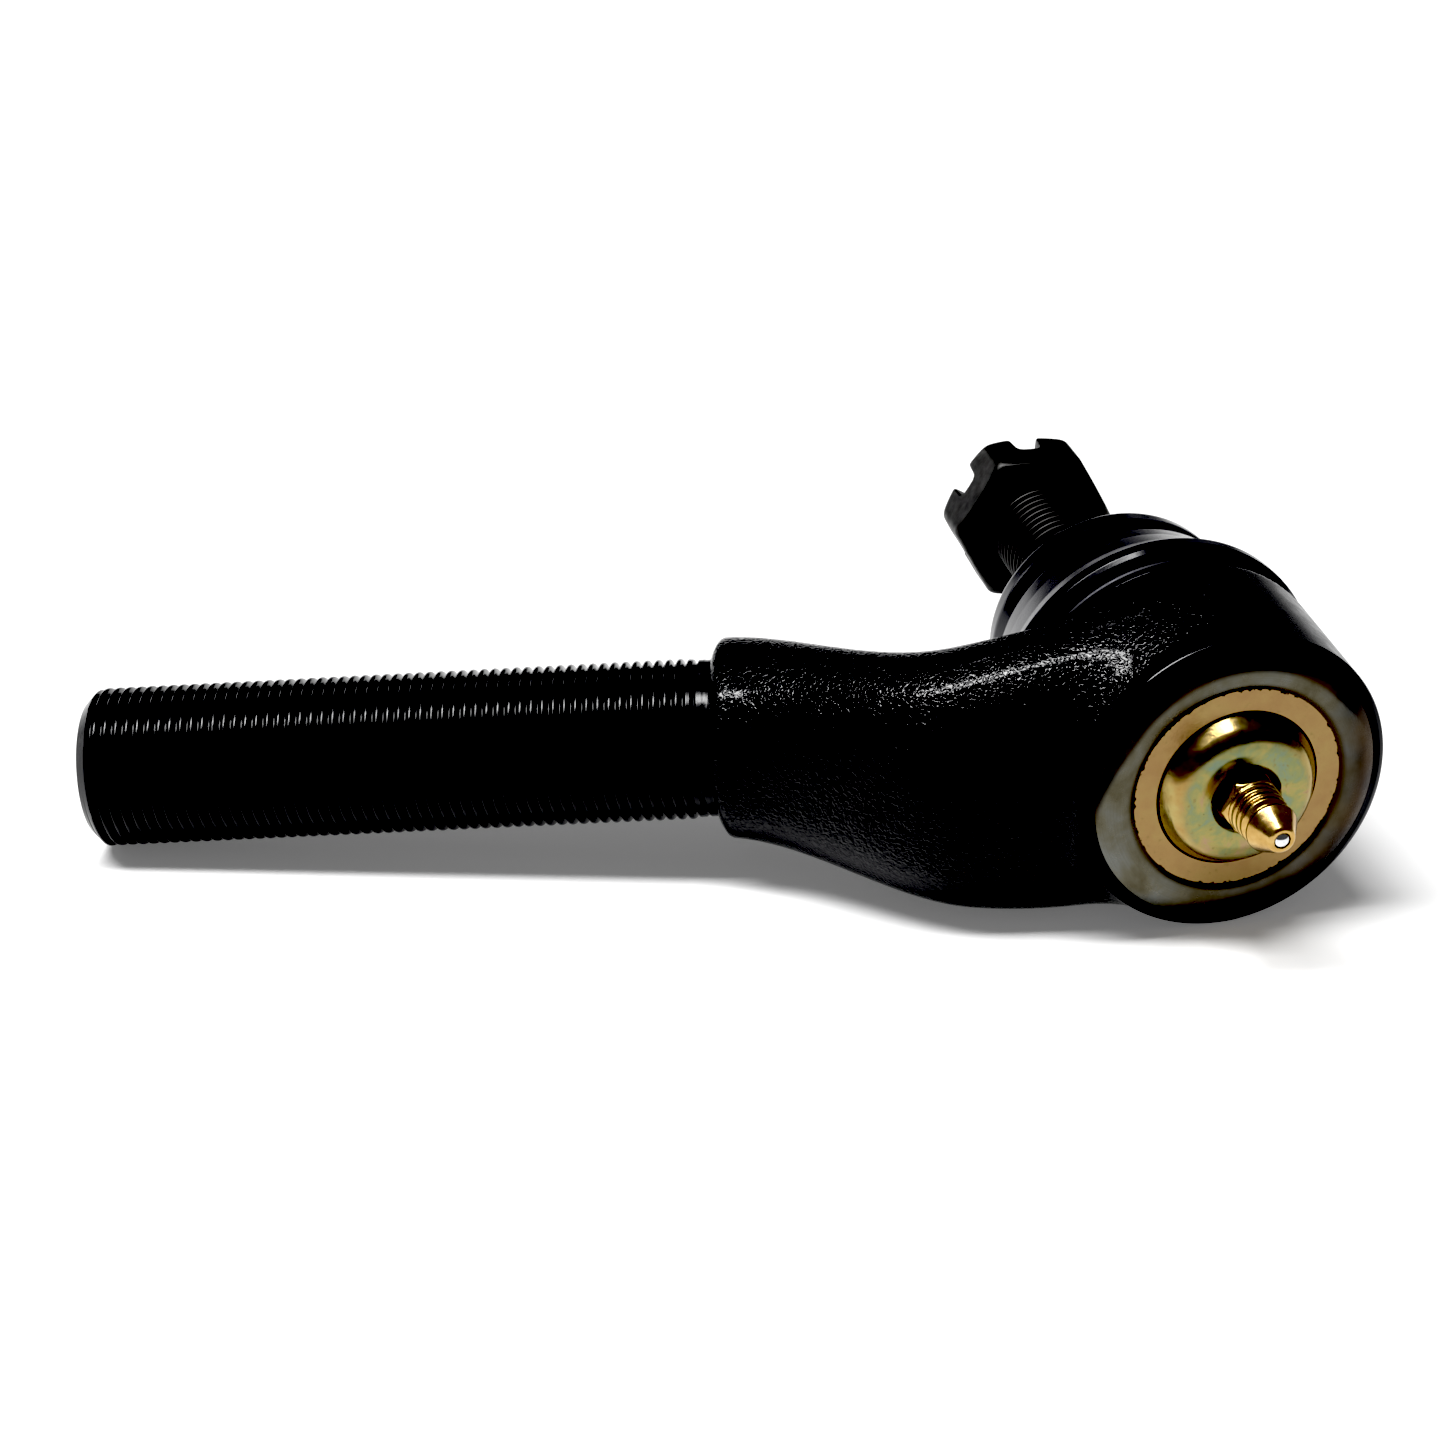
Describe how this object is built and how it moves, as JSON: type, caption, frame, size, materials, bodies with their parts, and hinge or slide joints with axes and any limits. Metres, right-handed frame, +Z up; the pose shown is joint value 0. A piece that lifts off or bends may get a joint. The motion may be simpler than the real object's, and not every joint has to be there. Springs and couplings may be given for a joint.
{
  "type": "tie rod end",
  "caption": "Greasable tie rod end: forged offset neck with a threaded shank, a booted ball stud on a leaning head axis, and a castle nut.",
  "frame": {"origin": "centre of the ball, on the axis of the threaded shank", "axes": "-X along the shank towards its free end, +Z up with the part lying on its side, and the head and stud axes in the XY plane, leaning from +Y towards the shank"},
  "size_m": [0.1742, 0.1016, 0.045],
  "materials": {
    "forging_paint": "gloss black paint over a forged skin, bare steel on the rolled lip",
    "socket_steel": "ground and greased",
    "spring_steel": "drawn wire",
    "seal_rubber": "matte",
    "yellow_zinc": "yellow chromate on zinc, satin",
    "fitting_zinc": "yellow chromate on zinc, bright",
    "polished_steel": "polished",
    "black_oxide": "black oxide, satin",
    "boot_rubber": "smooth and shiny",
    "ring_steel": "blackened wire"
  },
  "bodies": {
    "housing": {"housing": "forging_paint", "cover_plate": "yellow_zinc", "cover_seal": "seal_rubber", "preload_spring": "spring_steel", "fitting_body": "fitting_zinc", "fitting_spring": "spring_steel", "boot_base_ring": "ring_steel"},
    "bearing": {"upper_bearing": "socket_steel", "boot": "boot_rubber"},
    "pressure_cup": {"pressure_cup": "socket_steel", "spring_seat": "spring_steel"},
    "stud_collar": {"boot_top_ring": "ring_steel"},
    "stud": {"ball_stud": "black_oxide"},
    "nut": {"castle_nut": "black_oxide"},
    "fitting_ball": {"fitting_ball": "polished_steel"}
  },
  "joints": [
    {"name": "seat_turn", "type": "hinge", "parent": "housing", "child": "bearing", "pos_m": [0, 0, 0], "axis": [-0.342, 0.9397, 0], "continuous": true, "deforming": ["boot"]},
    {"name": "stud_tilt", "type": "hinge", "parent": "bearing", "child": "stud_collar", "pos_m": [0, 0, 0], "axis": [0, 0, 1], "range_deg": [-17.5, 22.5], "deforming": ["boot"]},
    {"name": "stud_spin", "type": "hinge", "parent": "stud_collar", "child": "stud", "pos_m": [0, 0, 0], "axis": [-0.3007, 0.9537, 0], "continuous": true},
    {"name": "nut_travel", "type": "slide", "parent": "stud", "child": "nut", "axis": [-0.3007, 0.9537, 0], "range_m": [-0.014, 0.008]},
    {"name": "cup_travel", "type": "slide", "parent": "housing", "child": "pressure_cup", "axis": [0.342, -0.9397, 0], "range_m": [0, 0.0005], "stiffness_N_per_m": 20000, "deforming": ["preload_spring"]},
    {"name": "check_ball_travel", "type": "slide", "parent": "housing", "child": "fitting_ball", "axis": [-0.342, 0.9397, 0], "range_m": [0, 0.0007], "stiffness_N_per_m": 300, "deforming": ["fitting_spring"]}
  ]
}
